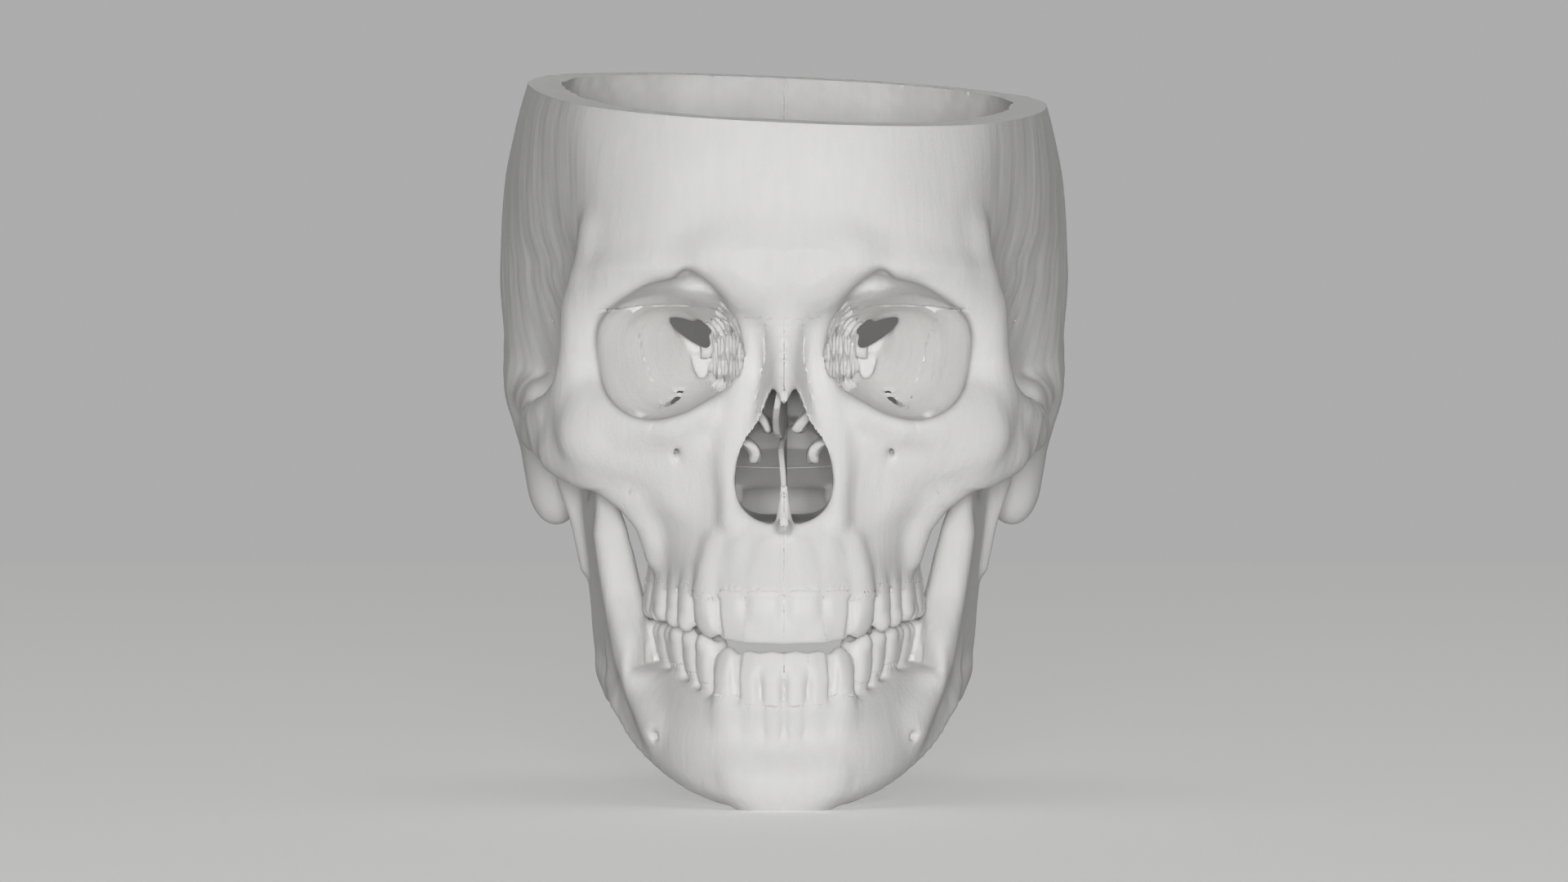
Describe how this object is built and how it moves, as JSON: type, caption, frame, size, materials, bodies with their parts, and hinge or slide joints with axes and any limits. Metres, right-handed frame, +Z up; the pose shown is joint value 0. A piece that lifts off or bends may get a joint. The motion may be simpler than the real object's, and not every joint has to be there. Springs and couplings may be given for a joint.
{
  "type": "human skull",
  "caption": "Adult human skull with the roof sawn off, of separate bones and teeth, with a lower jaw that hinges and glides on two joint discs.",
  "frame": {"origin": "centre of the bounding box at its base, under the chin's lowest point level", "axes": "+Z up, square to the plane through the ear holes and the eye floors; the face looks along -Y; +X is the skull's own left"},
  "size_m": [0.15, 0.1868, 0.1917],
  "materials": {
    "bone": "matt, dry, faintly streaked",
    "tooth": "satin",
    "disc": "satin"
  },
  "bodies": {
    "cranium": {"frontal_bone": "bone", "parietal_bone_left": "bone", "parietal_bone_right": "bone", "temporal_bone_left": "bone", "temporal_bone_right": "bone", "occipital_bone": "bone", "sphenoid_bone": "bone", "ethmoid_bone": "bone", "nasal_bone_left": "bone", "nasal_bone_right": "bone", "lacrimal_bone_left": "bone", "lacrimal_bone_right": "bone", "zygomatic_bone_left": "bone", "zygomatic_bone_right": "bone", "maxilla_left": "bone", "maxilla_right": "bone", "palatine_bone_left": "bone", "palatine_bone_right": "bone", "inferior_nasal_concha_left": "bone", "inferior_nasal_concha_right": "bone", "vomer": "bone", "upper_left_central_incisor": "tooth", "upper_right_central_incisor": "tooth", "upper_left_lateral_incisor": "tooth", "upper_right_lateral_incisor": "tooth", "upper_left_canine": "tooth", "upper_right_canine": "tooth", "upper_left_first_premolar": "tooth", "upper_right_first_premolar": "tooth", "upper_left_second_premolar": "tooth", "upper_right_second_premolar": "tooth", "upper_left_first_molar": "tooth", "upper_right_first_molar": "tooth", "upper_left_second_molar": "tooth", "upper_right_second_molar": "tooth", "upper_left_third_molar": "tooth", "upper_right_third_molar": "tooth"},
    "articular_discs": {"articular_disc_left": "disc", "articular_disc_right": "disc"},
    "lower_jaw": {"mandible": "bone", "lower_left_central_incisor": "tooth", "lower_right_central_incisor": "tooth", "lower_left_lateral_incisor": "tooth", "lower_right_lateral_incisor": "tooth", "lower_left_canine": "tooth", "lower_right_canine": "tooth", "lower_left_first_premolar": "tooth", "lower_right_first_premolar": "tooth", "lower_left_second_premolar": "tooth", "lower_right_second_premolar": "tooth", "lower_left_first_molar": "tooth", "lower_right_first_molar": "tooth", "lower_left_second_molar": "tooth", "lower_right_second_molar": "tooth", "lower_left_third_molar": "tooth", "lower_right_third_molar": "tooth"}
  },
  "joints": [
    {"name": "condyle_glide", "type": "slide", "parent": "cranium", "child": "articular_discs", "axis": [0, -0.8192, -0.5735], "range_m": [0, 0.008]},
    {"name": "jaw_hinge", "type": "hinge", "parent": "articular_discs", "child": "lower_jaw", "pos_m": [0, -0.00565, 0.09195], "axis": [1, 0, 0], "range_deg": [-0.8, 25]}
  ]
}
